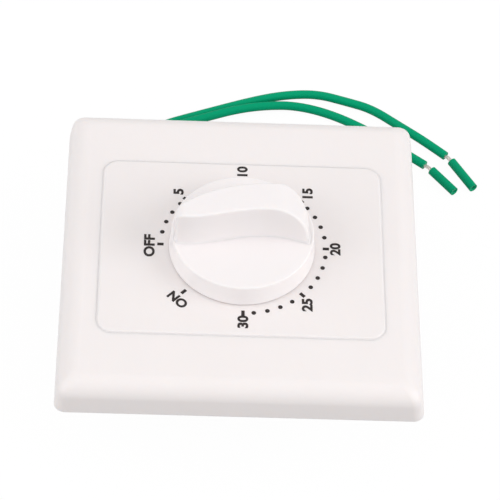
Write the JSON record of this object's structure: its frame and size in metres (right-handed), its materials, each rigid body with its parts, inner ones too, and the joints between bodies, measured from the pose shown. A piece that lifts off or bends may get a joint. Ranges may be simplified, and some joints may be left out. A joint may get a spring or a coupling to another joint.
{
  "type": "wall plate timer switch",
  "caption": "Square white wall plate with a wind-up dial knob, a shallow rear case that holds its clockwork switch, and green leads.",
  "frame": {"origin": "centre of the rear lid's outer face, below the middle of the dial, where the case stands on the table", "axes": "+Z out of the dial along the knob's axis, -X towards the OFF mark, +Y towards the side the leads leave from"},
  "size_m": [0.1057, 0.1214, 0.0491],
  "materials": {
    "frame_plastic": "satin moulded white",
    "panel_plastic": "satin moulded white",
    "knob_plastic": "satin moulded white",
    "case_plastic": "moulded white",
    "cam_plastic": "natural nylon",
    "phenolic": "moulded brown",
    "grommet_rubber": "moulded black",
    "insulation": "extruded green",
    "strand": "tinned copper strands",
    "solder": "bright",
    "brass": "rolled sheet",
    "steel": "rolled sheet",
    "screw_steel": "zinc plated"
  },
  "bodies": {
    "housing": {"base_plate": "panel_plastic", "case_shell": "case_plastic", "rear_lid": "case_plastic", "lid_screws": "screw_steel", "case_screws": "screw_steel", "front_movement_plate": "steel", "back_movement_plate": "steel", "pillars": "steel", "pillar_nuts": "steel", "movement_screws": "screw_steel", "mainspring": "steel", "spring_post": "steel", "stop_pin": "steel", "contact_block": "phenolic", "block_screws": "screw_steel", "fixed_blade": "brass", "fixed_rivet": "solder", "moving_root": "brass", "lead_tails": "insulation", "tail_strands": "strand", "solder_joints": "solder", "grommet": "grommet_rubber", "long_lead": "insulation", "short_lead": "insulation", "long_strand": "strand", "short_strand": "strand", "long_slug": "insulation", "short_slug": "insulation"},
    "arbor": {"main_arbor": "steel", "knob": "knob_plastic", "knob_clip": "steel", "main_wheel": "brass", "wheel_bush": "brass", "friction_washer": "steel", "wheel_clip": "brass", "front_clip": "steel", "stop_arm": "steel", "cam": "cam_plastic", "cam_clip": "steel"},
    "second": {"second_staff": "steel", "second_wheel": "brass", "second_bush": "brass"},
    "escape": {"escape_staff": "steel", "escape_wheel": "brass", "escape_bush": "brass"},
    "pallet": {"pallet_staff": "steel", "pallet_lever": "steel", "inertia_disc": "steel"},
    "leaf": {"contact_leaf": "brass", "follower_pad": "cam_plastic", "moving_rivet": "solder"},
    "cover": {"cover_frame": "frame_plastic"}
  },
  "joints": [
    {"name": "knob_turn", "type": "hinge", "parent": "housing", "child": "arbor", "pos_m": [0, 0, 0], "axis": [0, 0, 1], "range_deg": [-270, 45]},
    {"name": "second_spin", "type": "hinge", "parent": "housing", "child": "second", "pos_m": [0.01434, 0.01004, 0], "axis": [0, 0, 1], "range_deg": [-271, 1621]},
    {"name": "escape_spin", "type": "hinge", "parent": "housing", "child": "escape", "pos_m": [0.01686, -0.00221, 0], "axis": [0, 0, 1], "range_deg": [-6481, 1081]},
    {"name": "pallet_rock", "type": "hinge", "parent": "housing", "child": "pallet", "pos_m": [0.0188, -0.00945, 0], "axis": [0, 0, 1], "range_deg": [-2, 2]},
    {"name": "leaf_flex", "type": "hinge", "parent": "housing", "child": "leaf", "pos_m": [-0.0095, 0.00838, 0], "axis": [0, 0, 1], "range_deg": [0, 2.2], "stiffness_Nm_per_rad": 0.05},
    {"name": "cover_lift", "type": "slide", "parent": "housing", "child": "cover", "axis": [0, 0, 1], "range_m": [0, 0.02]}
  ],
  "couplings": [
    {"joint": "second_spin", "follows": "knob_turn", "ratio": -6},
    {"joint": "escape_spin", "follows": "knob_turn", "ratio": 24}
  ]
}
